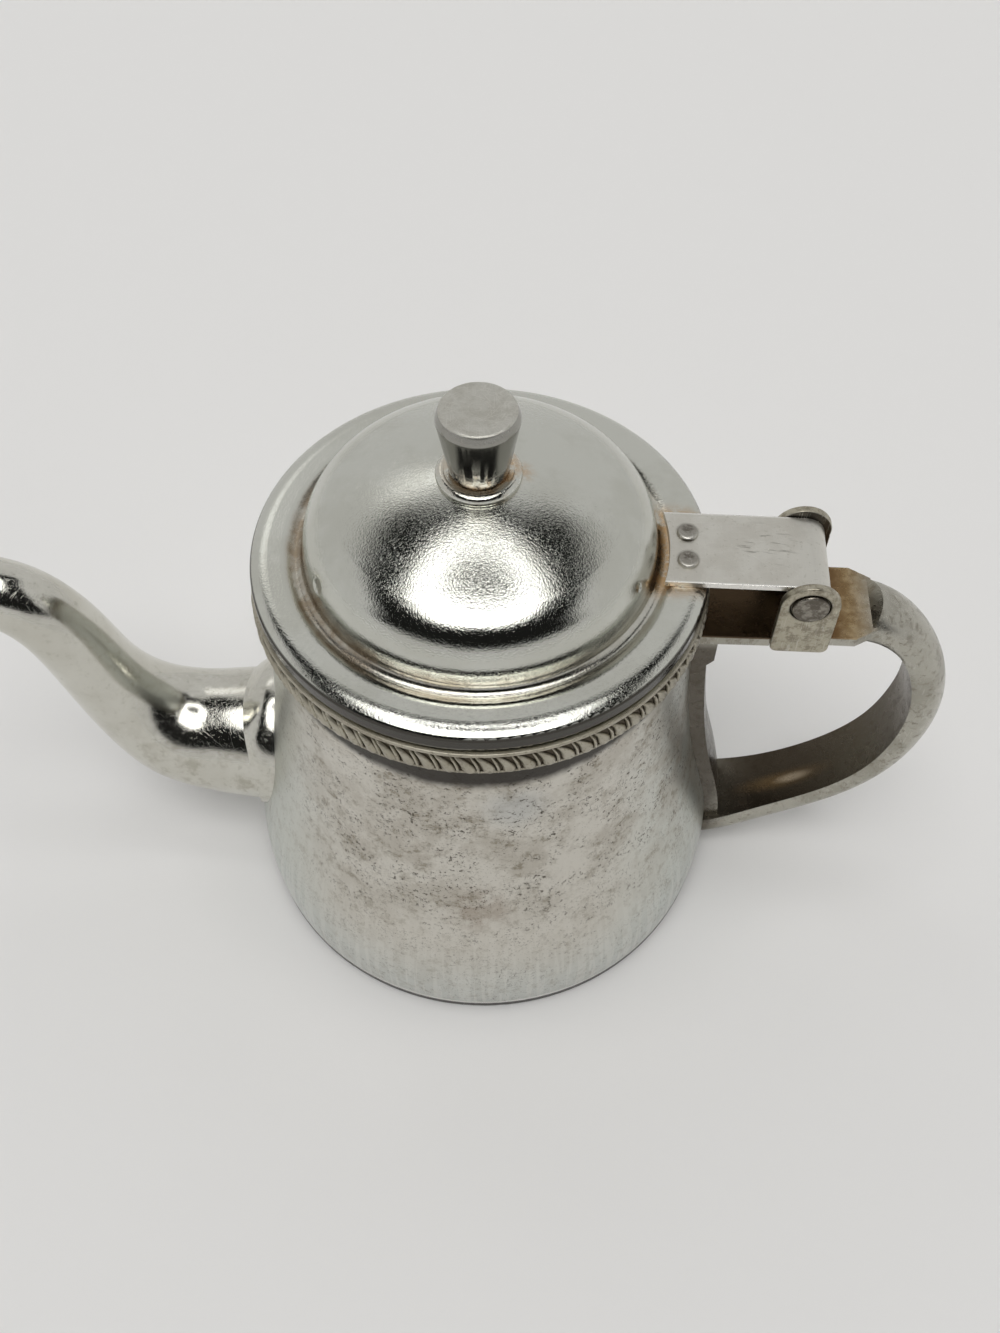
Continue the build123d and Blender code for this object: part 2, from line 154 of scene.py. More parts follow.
class Finish(NodeMaker):
    def __init__(self, name):
        self.material = bpy.data.materials.new(name)
        self.material.use_nodes = True
        super().__init__(self.material.node_tree)
        self.tree.nodes.clear()
        self.place = self.node("ShaderNodeTexCoord", None, None, "Object")
        self.x, self.y, self.z = self.split(self.place)

    def facing(self):  # the way the surface looks, from -1 to 1 along each axis
        return self.split(self.node("ShaderNodeTexCoord", None, None, "Normal"))

    def away(self):  # distance from the pot's upright axis
        return reach(self.x, self.y)

    def unrolled(self, radius):  # the round side laid out flat, with its seam at the spout
        around = self.calc("ARCTAN2", self.y, self.x)
        return self.point(around * radius, self.z, self.away())

    def turned(self, vector, degrees, size):  # turned first, then divided by the size
        return self.node(
            "ShaderNodeMapping",
            {"vector_type": "TEXTURE"},
            {0: vector, 2: (0.0, 0.0, math.radians(degrees)), 3: size},
        )

    def noise(self, vector, size, detail=4.0, rough=0.55):
        return self.node(
            "ShaderNodeTexNoise",
            None,
            {"Vector": vector, "Scale": 1.0 / size, "Detail": detail, "Roughness": rough},
        )

    def cloud(self, size, low, high, detail=5.0, rough=0.6):  # noise cut off softly
        return self.ease(self.noise(self.place, size, detail, rough), low, high)

    def grain(self, look):  # the fine unevenness of the whole surface
        return self.noise(self.place, *look["grain"]) * look["grainHeight"]

    def streaks(self, vector, degrees, length, width, keep, soft=0.05):
        laid = self.turned(vector, degrees, (length, width, length))
        line = self.noise(laid, 1.0, detail=2.0, rough=0.5)
        return self.ease(line, keep, keep + soft)

    def scratches(self, vector, length, width, keep, angles):
        total = 0.0
        for degrees in angles:
            total = self.streaks(vector, degrees, length, width, keep) + total
        return total.least(1.0)

    def spot(self, place, inner, outer):  # one at a place, fading to nothing
        far = self.node(
            "ShaderNodeVectorMath",
            {"operation": "DISTANCE"},
            {0: self.place, 1: tuple(place)},
            "Value",
        )
        return self.fade(far, inner, outer)

    def tint(self, amount, under, over):
        return self.node("ShaderNodeMix", {"data_type": "RGBA"}, {0: amount, 6: under, 7: over}, 2)

    def layered(self, look, height, **masks):  # the layers, laid over the metal in their order
        color, rough = look["metal"], look["rough"]
        for name, mask in masks.items():
            amount, over, rougher, raised = look["layers"][name]
            if over:
                color = self.tint(mask * amount, color, over)
            if rougher:
                rough = rough + mask * rougher
            if raised:
                height = height + mask * raised
        return self.close(color, rough, height)

    def close(self, color, rough, height):  # the height is in millimetres
        bump = self.node(
            "ShaderNodeBump", None, {"Strength": 1.0, "Distance": mm, "Height": height}
        )
        shader = self.node(
            "ShaderNodeBsdfPrincipled",
            None,
            {"Base Color": color, "Roughness": rough, "Metallic": 1.0, "Normal": bump},
        )
        self.node("ShaderNodeOutputMaterial", None, {"Surface": shader})
        return self.material


def layer(amount=0.0, color=None, rough=0.0, height=0.0):  # what a mask does where it is full
    return amount, color, rough, height


# Colours of the metal, clean, dulled and stained; the near black mostly paints shade and dark
# reflections.
metalColors = {
    "bright": (0.78, 0.77, 0.72, 1.0),
    "clean": (0.68, 0.665, 0.61, 1.0),
    "dull": (0.50, 0.475, 0.42, 1.0),
    "olive": (0.42, 0.41, 0.34, 1.0),
    "dark": (0.12, 0.105, 0.085, 1.0),
    # near black, mostly for painted shade and painted dark reflections
    "soot": (0.030, 0.025, 0.020, 1.0),
    "brown": (0.24, 0.155, 0.075, 1.0),
    "amber": (0.52, 0.31, 0.12, 1.0),
    "gold": (0.42, 0.30, 0.15, 1.0),
    "bronze": (0.43, 0.395, 0.30, 1.0),
}

# Sizes read from the frame.
hingePlace = Vector(frame["record"]["behaviour"]["joints"][0]["pos_m"])
bandLow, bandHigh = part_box("gadroon_band")
lidLow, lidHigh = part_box("lid_shell")
knobLow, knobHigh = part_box("knob")
leafLow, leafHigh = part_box("hinge_leaf")
rivetLow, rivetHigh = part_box("leaf_rivet_rear")
rivetRear = (rivetLow + rivetHigh) / 2
beadRadius = lidHigh.x
mouthHeight = bandHigh.z


# In each look a cloud is its size, the noise values it fades in between, detail and roughness;
# scratches are length, width, noise value and angles, and streaks have their one angle first;
# a spot is its place and two distances; a rise or a fade is where it starts and where it ends,
# and what it is worth at each where that isn't nothing or all.

def makeBodyFinish():
    look = {
        "metal": (0.665, 0.64, 0.58, 1.0),
        "rough": 0.33,
        "grain": (0.30 * mm, 2.0, 0.6),
        "grainHeight": 0.020,
        "unrollRadius": 40 * mm,
        "sideRise": (20 * mm, 40 * mm),
        "upperRise": (16 * mm, 46 * mm, 0.25, 1.0),
        "spoutRise": (-33 * mm, -20 * mm, 0.25, 1.0),
        "lowFade": (6 * mm, 26 * mm),
        "footFade": (2.5 * mm, 3.1 * mm),
        "underFade": (1.7 * mm, 2.1 * mm),
        "patches": (10 * mm, 0.42, 0.60, 7.0, 0.68),
        "mottles": (2.4 * mm, 0.50, 0.62, 8.0, 0.78),
        "mottleFloor": 0.25,  # how much of it shows between the patches
        "clusters": (6 * mm, 0.44, 0.60, 4.0, 0.6),
        "clusterFloor": 0.2,  # how much of it shows low down and beside the spout
        "specks": (0.75 * mm, 0.56, 0.605, 5.0, 0.75),
        "fineSpecks": (0.4 * mm, 0.60, 0.66, 3.0, 0.6),
        "fineFields": (14 * mm, 0.40, 0.56),
        "dashes": (1.9 * mm, 0.24 * mm, 0.68, (78.0, 97.0, 6.0)),
        "dashFields": (12 * mm, 0.46, 0.6),
        "strokes": (90.0, 22 * mm, 1.1 * mm, 0.50),  # upright wipe marks
        "strokeFade": (6 * mm, 34 * mm, 1.0, 0.15),
        "smudgeSpot": ((0.0015, -0.0395, 0.0335), 2.5 * mm, 8.5 * mm),
        "smudges": (3 * mm, 0.34, 0.60, 6.0, 0.7),
        "bloomSpot": ((0.0075, -0.0350, 0.0620), 1.5 * mm, 7.5 * mm),
        "shadeTop": bandLow.z - 0.2 * mm,
        "shadeDrop": 5.0 * mm,
        "shadeReach": 36 * mm,
        "ripples": (3.5 * mm, 3.0, 0.6),
        "rippleHeight": 2.2 * mm,
        "shadeBelow": 1.8 * mm,
        "shadeAbove": 0.7 * mm,
        "shadeAcross": (4 * mm, 26 * mm),
        "shadeBehind": (-6 * mm, 8 * mm, 1.0, 0.35),
        "layers": {
            "sideways": layer(0.85, (0.60, 0.63, 0.59, 1.0)),
            "low": layer(0.6, (0.57, 0.61, 0.595, 1.0)),
            "patch": layer(0.62, (0.45, 0.415, 0.355, 1.0)),
            "bloom": layer(0.35, (0.40, 0.44, 0.47, 1.0)),
            "smudge": layer(0.55, (0.36, 0.29, 0.23, 1.0)),
            "mottle": layer(0.85, (0.30, 0.265, 0.205, 1.0), rough=0.14, height=-0.012),
            "specks": layer(0.92, (0.085, 0.07, 0.05, 1.0), rough=0.14, height=-0.02),
            "fine": layer(0.45, metalColors["dark"]),
            "dashes": layer(0.7, metalColors["dark"], height=-0.015),
            "strokes": layer(0.25, metalColors["bright"], rough=-0.05),
            # a painted highlight: a bright line round the bottom edge
            "foot": layer(0.9, (0.86, 0.85, 0.80, 1.0), rough=-0.1),
            "shade": layer(0.96, metalColors["soot"]),
            # under is a painted contact shadow at the very bottom
            "under": layer(0.95, metalColors["soot"]),
        },
    }
    f = Finish("bodyFinish")
    side = f.unrolled(look["unrollRadius"])
    upper = f.ease(f.z, *look["upperRise"]) * f.ease(f.x, *look["spoutRise"])
    patch = f.cloud(*look["patches"]) * upper
    cluster = f.cloud(*look["clusters"]) * upper.lifted(look["clusterFloor"])
    ahead = abs(f.y) / look["shadeReach"]
    ripple = (f.noise(f.place, *look["ripples"]) - 0.5) * look["rippleHeight"]
    edge = look["shadeTop"] - look["shadeDrop"] * ahead ** 2.0 + ripple
    shade = f.ease(f.z, edge - look["shadeBelow"], edge + look["shadeAbove"])
    shade = shade * f.ease(abs(f.y), *look["shadeAcross"]) * f.ease(f.y, *look["shadeBehind"])
    return f.layered(
        look,
        f.grain(look),
        sideways=f.ease(abs(f.x), *look["sideRise"]),
        low=f.fade(f.z, *look["lowFade"]),
        patch=patch,
        bloom=f.spot(*look["bloomSpot"]),
        smudge=f.spot(*look["smudgeSpot"]) * f.cloud(*look["smudges"]),
        mottle=f.cloud(*look["mottles"]) * patch.lifted(look["mottleFloor"]),
        specks=f.cloud(*look["specks"]) * cluster,
        fine=f.cloud(*look["fineSpecks"]) * f.cloud(*look["fineFields"]),
        dashes=f.scratches(side, *look["dashes"]) * f.cloud(*look["dashFields"]),
        strokes=f.streaks(side, *look["strokes"]) * f.ease(f.z, *look["strokeFade"]),
        # foot paints a highlight round the bottom edge
        foot=f.fade(f.z, *look["footFade"]),
        shade=shade,
        # under paints the contact shadow at the very bottom
        under=f.fade(f.z, *look["underFade"]),
    )


def makeBandFinish():
    look = {
        "metal": (0.46, 0.43, 0.355, 1.0),
        "rough": 0.36,
        "grain": (0.22 * mm, 3.0, 0.6),
        "grainHeight": 0.02,
        "patches": (6 * mm, 0.42, 0.62),
        "pits": (0.5 * mm, 0.56, 0.66, 3.0, 0.6),
        "lipRise": (mouthHeight - 1.0 * mm, mouthHeight - 0.75 * mm),
        "grooveFade": (bandHigh.x - 0.80 * mm, bandHigh.x - 0.50 * mm),
        "layers": {
            "patch": layer(0.6, (0.35, 0.32, 0.25, 1.0)),
            "pits": layer(0.6, (0.24, 0.21, 0.15, 1.0), rough=0.1, height=-0.015),
            "groove": layer(0.92, (0.115, 0.095, 0.068, 1.0), rough=0.3),
        },
    }
    f = Finish("bandFinish")
    lip = f.ease(f.z, *look["lipRise"])
    return f.layered(
        look,
        f.grain(look),
        patch=f.cloud(*look["patches"]),
        pits=f.cloud(*look["pits"]),
        groove=f.fade(f.away(), *look["grooveFade"]) * (1.0 - lip),
    )


def makeLidFinish():
    ringTop = mouthHeight + 4.9 * mm
    look = {
        "metal": (0.62, 0.625, 0.575, 1.0),
        "rough": 0.065,
        "grain": (0.34 * mm, 2.0, 0.65),
        "grainHeight": 0.028,
        "fineGrain": (0.16 * mm, 1.0, 0.5),
        "fineHeight": 0.008,
        "hairs": (0.8 * mm, 0.09 * mm, 0.66, (8.0, 41.0, 77.0, 118.0, 155.0)),
        "flecks": (0.36 * mm, 0.55, 0.62, 2.0, 0.6),
        "fleckFade": (18 * mm, 26 * mm, 1.0, 0.2),
        "films": (16 * mm, 0.42, 0.62),
        "ringFade": (ringTop, ringTop + 2.0 * mm),
        "valleyRadius": beadRadius - 7.6 * mm,
        "valleyFade": (0.9 * mm, 2.3 * mm),
        "runs": (5 * mm, 0.36, 0.62, 6.0, 0.65),
        "runFloor": 0.4,
        "leftFade": (-26 * mm, 8 * mm, 1.0, 0.35),
        "leafSpot": ((leafLow.x + 1.5 * mm, 0.0, leafLow.z), 8.2 * mm, 12.5 * mm),
        "leafStains": (3 * mm, 0.34, 0.56, 6.0, 0.7),
        "footFade": (5.0 * mm, 7.2 * mm),
        "footRise": (-2.0 * mm, 4.0 * mm, 0.35, 1.0),
        "footStains": (2.4 * mm, 0.40, 0.60),
        "footSpot": ((0.0066, 0.0012, 0.1010), 0.5 * mm, 3.2 * mm),
        "footSpotStains": (1.6 * mm, 0.40, 0.60),
        "footSpotAmount": 0.8,
        "nickSpot": ((-0.0239, -0.0142, 0.0890), 0.2 * mm, 1.6 * mm),
        "notchSpot": ((0.0249, -0.0120, 0.0894), 0.1 * mm, 0.9 * mm),
        "beadRise": (beadRadius - 0.45 * mm, beadRadius - 0.15 * mm),
        "beadShade": (lidLow.z + 0.3 * mm, lidLow.z + 1.1 * mm, 0.60, 0.93),
        "layers": {
            "film": layer(0.5, (0.52, 0.52, 0.46, 1.0), rough=0.03),
            "stain": layer(0.75, metalColors["brown"], rough=0.22),
            "leafStain": layer(0.8, metalColors["amber"], rough=0.22),
            "foot": layer(0.7, metalColors["amber"], rough=0.15),
            # a painted dark reflection on the bead's upright outer side
            "bead": layer(1.0, metalColors["soot"]),
            "flecks": layer(rough=0.12),
            "hairs": layer(height=-0.002),
            "nick": layer(height=-0.45),
        },
    }
    f = Finish("lidFinish")
    radius = f.away()
    ring = f.fade(f.z, *look["ringFade"])
    valley = f.fade(abs(radius - look["valleyRadius"]), *look["valleyFade"]) * ring
    runs = f.cloud(*look["runs"]).lifted(look["runFloor"])
    foot = f.fade(radius, *look["footFade"]) * f.cloud(*look["footStains"])
    foot = foot * f.ease(f.x, *look["footRise"])
    footSpot = f.spot(*look["footSpot"]) * f.cloud(*look["footSpotStains"])
    fine = f.noise(f.place, *look["fineGrain"]) * look["fineHeight"]
    return f.layered(
        look,
        f.grain(look) + fine,
        film=f.cloud(*look["films"]),
        stain=valley * f.ease(f.x, *look["leftFade"]) * runs,
        leafStain=f.spot(*look["leafSpot"]) * ring * f.cloud(*look["leafStains"]),
        foot=foot.most(footSpot * look["footSpotAmount"]),
        # the bead's outer side gets a painted dark reflection
        bead=f.ease(radius, *look["beadRise"]) * f.ease(f.z, *look["beadShade"]),
        flecks=f.cloud(*look["flecks"]) * f.ease(radius, *look["fleckFade"]),
        hairs=f.scratches(f.place, *look["hairs"]),
        nick=f.spot(*look["nickSpot"]).most(f.spot(*look["notchSpot"])),
    )


def makeKnobFinish():
    look = {
        "metal": (0.56, 0.55, 0.50, 1.0),
        "rough": 0.12,
        "grain": (0.22 * mm, 3.0, 0.6),
        "grainHeight": 0.004,
        "topGrain": 0.022,
        "rimGrain": 0.03,
        "latheSize": (30 * mm, 30 * mm, 0.25 * mm),  # flat, so that it makes level lines
        "latheLines": (1.0, 2.0, 0.6),
        "latheHeight": 0.004,
        "hairs": (2.2 * mm, 0.12 * mm, 0.62, (5.0, 33.0, 64.0, 96.0, 131.0, 160.0)),
        "patches": (2.5 * mm, 0.42, 0.62),
        "topRise": (knobHigh.z - 0.30 * mm, knobHigh.z - 0.12 * mm),
        "rimRise": (4.2 * mm, 5.6 * mm),
        "footFade": (knobLow.z, knobLow.z + 1.3 * mm),
        "layers": {
            "patch": layer(0.5, (0.42, 0.405, 0.35, 1.0), rough=0.05),
            # a painted dark reflection on the knob's polished flank
            "flank": layer(0.75, (0.27, 0.265, 0.245, 1.0)),
            "foot": layer(0.75, metalColors["brown"]),
            "hairs": layer(0.35, metalColors["bright"], height=-0.012),
            "top": layer(rough=0.24),
        },
    }
    f = Finish("knobFinish")
    top = f.ease(f.z, *look["topRise"])
    rim = f.ease(f.away(), *look["rimRise"]) * top
    lathe = f.noise(f.turned(f.place, 0.0, look["latheSize"]), *look["latheLines"])
    grainHeight = top * look["topGrain"] + rim * look["rimGrain"] + look["grainHeight"]
    grain = f.noise(f.place, *look["grain"]) * grainHeight
    return f.layered(
        look,
        lathe * look["latheHeight"] * (1.0 - top) + grain,
        patch=f.cloud(*look["patches"]),
        # the flank gets a painted dark reflection
        flank=1.0 - top,
        foot=f.fade(f.z, *look["footFade"]),
        hairs=f.scratches(f.place, *look["hairs"]) * top,
        top=top,
    )


def makeHingeFinish():
    look = {
        "metal": metalColors["clean"],
        "rough": 0.33,
        "grain": (0.28 * mm, 3.0, 0.6),
        "grainHeight": 0.016,
        "patches": (7 * mm, 0.42, 0.62),
        "pits": (0.6 * mm, 0.60, 0.68, 3.0, 0.6),
        "hairs": (4 * mm, 0.10 * mm, 0.66, (4.0, 12.0, 95.0, 140.0)),
        "scuffs": (-4.0, 4 * mm, 0.5 * mm, 0.60),
        "scuffSpot": ((0.0455, 0.001, leafHigh.z), 2 * mm, 6 * mm),
        # shift towards the rear, height and two distances
        "ringSpot": (0.4 * mm, leafHigh.z, 1.45 * mm, 2.1 * mm),
        "smutSpot": (0.55 * mm, rivetHigh.z, 0.5 * mm, 1.25 * mm),
        "smuts": (0.7 * mm, 0.38, 0.54),
        "grimes": (1.6 * mm, 0.44, 0.60, 6.0, 0.72),
        "earRise": (leafHigh.y + 0.05 * mm, leafHigh.y + 0.25 * mm),
        "edgeRise": (leafHigh.y - 0.42 * mm, leafHigh.y - 0.12 * mm),
        "pinFade": (2.9 * mm, 3.7 * mm),
        "insideFade": (-0.92, -0.70),  # of the way the surface looks, along y
        "rearRise": (0.0, 1.0 * mm),
        "layers": {
            "patch": layer(0.4, metalColors["dull"], rough=0.1),
            "ear": layer(0.85, metalColors["bronze"]),
            "grime": layer(0.55, (0.13, 0.105, 0.07, 1.0)),
            # painted shade on the rear ear's inner face
            "inside": layer(0.9, (0.060, 0.050, 0.038, 1.0)),
            "pinRing": layer(0.75, metalColors["soot"]),
            "scuffs": layer(0.5, metalColors["dark"], height=-0.01),
            # painted shade round the rivets, shifted to their rear side
            "ring": layer(0.6, metalColors["dark"]),
            "smut": layer(0.8, metalColors["dark"]),
            "pits": layer(0.3, metalColors["olive"], rough=0.1, height=-0.012),
            "hairs": layer(0.3, metalColors["bright"], height=-0.006),
            # a painted highlight along the leaf's edges
            "edge": layer(0.8, (0.88, 0.87, 0.83, 1.0), rough=-0.1),
        },
    }
    f = Finish("hingeFinish")

    def onRivets(shift, z, inner, outer):  # one on the rear rivet and one on the front
        rear = f.spot((rivetRear.x, shift + rivetRear.y, z), inner, outer)
        return rear.most(f.spot((rivetRear.x, shift - rivetRear.y, z), inner, outer))

    ear = f.ease(abs(f.y), *look["earRise"])
    # the rear ear's inner face, given painted shade
    inside = f.fade(f.facing()[1], *look["insideFade"]) * f.ease(f.y, *look["rearRise"])
    pinRing = f.fade(reach(f.x - hingePlace.x, f.z - hingePlace.z), *look["pinFade"])
    # a painted highlight along the leaf's edges
    leafEdge = f.ease(abs(f.y), *look["edgeRise"]) * (1.0 - ear) * (1.0 - inside)
    return f.layered(
        look,
        f.grain(look),
        patch=f.cloud(*look["patches"]),
        ear=ear,
        grime=ear * f.cloud(*look["grimes"]),
        inside=inside,
        pinRing=ear * pinRing,
        scuffs=f.streaks(f.place, *look["scuffs"]) * f.spot(*look["scuffSpot"]),
        # ring paints shade round the rivets
        ring=onRivets(*look["ringSpot"]),
        smut=onRivets(*look["smutSpot"]) * f.cloud(*look["smuts"]),
        pits=f.cloud(*look["pits"]),
        hairs=f.scratches(f.place, *look["hairs"]),
        edge=leafEdge,
    )


def makeHandleFinish():
    look = {
        "metal": (0.45, 0.435, 0.38, 1.0),
        "rough": 0.22,
        "grain": (0.28 * mm, 3.0, 0.6),
        "grainHeight": 0.014,
        "patches": (11 * mm, 0.42, 0.62),
        "mottles": (1.8 * mm, 0.50, 0.64, 6.0, 0.74),
        "hairs": (3 * mm, 0.10 * mm, 0.66, (20.0, 70.0, 115.0, 160.0)),
        "warmths": (3 * mm, 0.36, 0.60, 6.0, 0.65),
        "goldFloor": 0.85,
        "topRise": (72.7 * mm, 73.1 * mm),
        "flatFade": (hingePlace.x + 8 * mm, hingePlace.x + 14 * mm),
        "earFade": (hingePlace.x + 5 * mm, hingePlace.x + 9 * mm),
        "shadeFade": (hingePlace.x - 3 * mm, hingePlace.x + 9 * mm),
        "potwardFade": (-0.55, -0.15),  # of the way the surface looks, along x
        "sidewayFade": (0.35, 0.70),  # and along y
        "lowFade": (14 * mm, 34 * mm),
        "rootFade": (44 * mm, 50 * mm),
        "rootLowFade": (66 * mm, 70 * mm),
        "streakMiddle": (59.5 * mm, -1.2 * mm),
        "streakHalf": (8.5 * mm, 1.9 * mm),
        "streakFade": (0.0, 1.35),
        "gleamShift": 0.25,
        "gleamSqueeze": (6.0, 3.0),
        "gleamFade": (0.2, 1.2),
        "layers": {
            "patch": layer(0.6, (0.32, 0.305, 0.255, 1.0), rough=0.08),
            "mottle": layer(0.5, (0.17, 0.145, 0.105, 1.0), rough=0.1, height=-0.008),
            "hairs": layer(0.25, metalColors["bright"], height=-0.005),
            # painted shade on the loop's inner faces, darker low down
            "inner": layer(0.85, (0.085, 0.064, 0.042, 1.0)),
            "innerLow": layer(0.7, (0.036, 0.025, 0.016, 1.0)),
            # painted highlights on the loop's inner face: a brown glow and a bright core
            "streak": layer(0.7, metalColors["brown"]),
            "gleam": layer(0.6, (0.72, 0.60, 0.46, 1.0)),
            # painted shade where the handle's root meets the body
            "root": layer(0.85, (0.070, 0.056, 0.042, 1.0)),
            "gold": layer(1.0, metalColors["gold"]),
            "warm": layer(0.6, (0.13, 0.07, 0.03, 1.0)),
            # painted shade on the flat beside and under the ear
            "byEar": layer(0.6, (0.14, 0.065, 0.025, 1.0)),
            "shade": layer(0.94, (0.05, 0.034, 0.02, 1.0)),
        },
    }
    f = Finish("handleFinish")
    faceX, faceY = f.facing()[:2]
    top = f.ease(f.z, *look["topRise"])
    flat = top * f.fade(f.x, *look["flatFade"])
    warm = f.cloud(*look["warmths"])
    inner = f.fade(faceX, *look["potwardFade"]) * f.fade(abs(faceY), *look["sidewayFade"])
    inner = inner * (1.0 - top)
    innerLow = inner * f.fade(f.z, *look["lowFade"])
    along = (f.x - look["streakMiddle"][0]) / look["streakHalf"][0]
    beside = (f.y - look["streakMiddle"][1]) / look["streakHalf"][1]
    longSqueeze, wideSqueeze = look["gleamSqueeze"]
    gleam = (along - look["gleamShift"]) ** 2.0 * longSqueeze + beside ** 2.0 * wideSqueeze
    return f.layered(
        look,
        f.grain(look),
        patch=f.cloud(*look["patches"]),
        mottle=f.cloud(*look["mottles"]),
        hairs=f.scratches(f.place, *look["hairs"]),
        # the loop's inner faces get painted shade
        inner=inner,
        innerLow=innerLow,
        # the streak and the gleam are painted highlights
        streak=innerLow * f.fade(reach(along, beside), *look["streakFade"]),
        gleam=innerLow * f.fade(gleam ** 0.5, *look["gleamFade"]),
        # root paints shade where the handle meets the body
        root=f.fade(f.x, *look["rootFade"]) * f.fade(f.z, *look["rootLowFade"]),
        gold=flat * warm.lifted(look["goldFloor"]),
        warm=flat * warm,
        # byEar paints shade on the flat beside the ear
        byEar=flat * f.fade(f.x, *look["earFade"]),
        shade=flat * f.fade(f.x, *look["shadeFade"]),
    )


def makeSpoutFinish():
    look = {
        "metal": (0.66, 0.65, 0.59, 1.0),
        "rough": 0.10,
        "grain": (0.26 * mm, 2.0, 0.65),
        "grainHeight": 0.014,
        "patches": (12 * mm, 0.42, 0.62),
        "mottles": (1.5 * mm, 0.56, 0.68, 5.0, 0.7),
        "hairs": (2.2 * mm, 0.10 * mm, 0.66, (15.0, 60.0, 105.0, 150.0)),
        "soils": (5 * mm, 0.46, 0.64, 7.0, 0.7),
        "soilFade": (24 * mm, 40 * mm, 1.0, 0.1),
        "layers": {
            "patch": layer(0.5, (0.56, 0.545, 0.48, 1.0), rough=0.04),
            "mottle": layer(0.4, metalColors["olive"], rough=0.1),
            "soil": layer(0.5, (0.27, 0.24, 0.17, 1.0)),
            "hairs": layer(height=-0.004),
        },
    }
    f = Finish("spoutFinish")
    return f.layered(
        look,
        f.grain(look),
        patch=f.cloud(*look["patches"]),
        mottle=f.cloud(*look["mottles"]),
        soil=f.cloud(*look["soils"]) * f.ease(f.z, *look["soilFade"]),
        hairs=f.scratches(f.place, *look["hairs"]),
    )


def makeScrewFinish():
    look = {
        "metal": (0.31, 0.29, 0.25, 1.0),
        "rough": 0.26,
        "grain": (0.3 * mm, 4.0, 0.65),
        "grainHeight": 0.02,
        "patches": (1.4 * mm, 0.40, 0.58),
        "patchFloor": 0.2,
        "layers": {
            "tarnish": layer(0.75, metalColors["dark"]),
            "patch": layer(rough=0.2),
        },
    }
    f = Finish("screwFinish")
    patch = f.cloud(*look["patches"])
    return f.layered(
        look,
        f.grain(look),
        tarnish=patch + look["patchFloor"],
        patch=patch,
    )


print("finishes")
finishes = {
    "body_metal": makeBodyFinish(),
    "band_metal": makeBandFinish(),
    "lid_metal": makeLidFinish(),
    "knob_metal": makeKnobFinish(),
    "screw_metal": makeScrewFinish(),
    "hinge_metal": makeHingeFinish(),
    "handle_metal": makeHandleFinish(),
    "spout_metal": makeSpoutFinish(),
}
for part in nodes.values():
    for slot in part.material_slots:
        slot.material = finishes[slot.material.name.split(".")[0]]


# Mesh helpers.

def addPiece(name, mesh, slotName, body, *standsFor):
    piece = bpy.data.objects.new(name, mesh)
    bpy.context.scene.collection.objects.link(piece)
    mesh.materials.clear()
    mesh.materials.append(finishes[slotName])
    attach(piece, body)
    if standsFor:
        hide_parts(*standsFor)
    return piece


def newHolder(mesh):  # an object that only carries a modifier
    holder = bpy.data.objects.new("holder", mesh)
    bpy.context.scene.collection.objects.link(holder)
    return holder


def settle(holder):  # the evaluated result as a plain mesh
    graph = bpy.context.evaluated_depsgraph_get()
    graph.update()
    mesh = bpy.data.meshes.new_from_object(holder.evaluated_get(graph), depsgraph=graph)
    for modifier in list(holder.modifiers):
        holder.modifiers.remove(modifier)
    old = holder.data
    bpy.data.objects.remove(holder)
    bpy.data.meshes.remove(old)
    return mesh


# Gadroon band: one wide leaf and one narrow rib, repeated round a plain ring.

print("gadroon band")
lipHeight = 0.8 * mm
bandSizes = {
    "Pairs": 76,
    "Ring radius": bandHigh.x - 0.85 * mm,
    "Rib middle": (bandLow.z + mouthHeight - lipHeight) / 2,
    "Rib height": mouthHeight - lipHeight - bandLow.z,
    "Leaf width": 2.70 * mm,
    "Leaf sweep": 2.2 * mm,
    "Thread width": 0.72 * mm,
    "Thread sweep": 1.25 * mm,
    "Proud": 0.84 * mm,
    "Lip height": lipHeight,
    "Foot height": 0.42 * mm,
    "Seed": 4,
}
ribShape = {
    "around": 12,
    "rings": 8,
    "blunting": 1.03,
    "bluntPower": -0.25,  # a fuller outline than a ball's
    "taperPower": 1.5,
    "sweepPower": 2.2,
    "sweepBack": 0.3,
    "leafProud": 0.97,
    "leafTaper": 0.72,
    "threadPlace": 0.54,  # of the way from one leaf to the next
    "threadProud": 0.9,
    "threadTaper": 0.25,
    "threadSeed": 9,
    "smallest": 0.93,  # of its full width, drawn at random for each
}
hoopShape = {
    "steps": 228,
    "innerRadius": bandHigh.x - 1.5 * mm,
    "lipRadius": bandHigh.x - 0.4 * mm,
    "footRadius": bandHigh.x - 0.5 * mm,
    "rounding": 0.19 * mm,
    "roundingSteps": 3,
}


def groupInput(g, sizes):  # the tree's named inputs, as wires
    for name, value in sizes.items():
        kind = "NodeSocketInt" if isinstance(value, int) else "NodeSocketFloat"
        socket = g.tree.interface.new_socket(name=name, in_out="INPUT", socket_type=kind)
        socket.default_value = value
    g.tree.interface.new_socket(
        name="Geometry", in_out="OUTPUT", socket_type="NodeSocketGeometry"
    )
    entry = g.node("NodeGroupInput").socket.node
    return {name: Wire(g, entry.outputs[name]) for name in sizes}


def runTree(tree, sizes):
    holder = newHolder(bpy.data.meshes.new("holder"))
    modifier = holder.modifiers.new("nodes", "NODES")
    modifier.node_group = tree
    for item in tree.interface.items_tree:
        if item.in_out == "INPUT" and item.name in sizes:
            modifier[item.identifier] = sizes[item.name]
    return settle(holder)


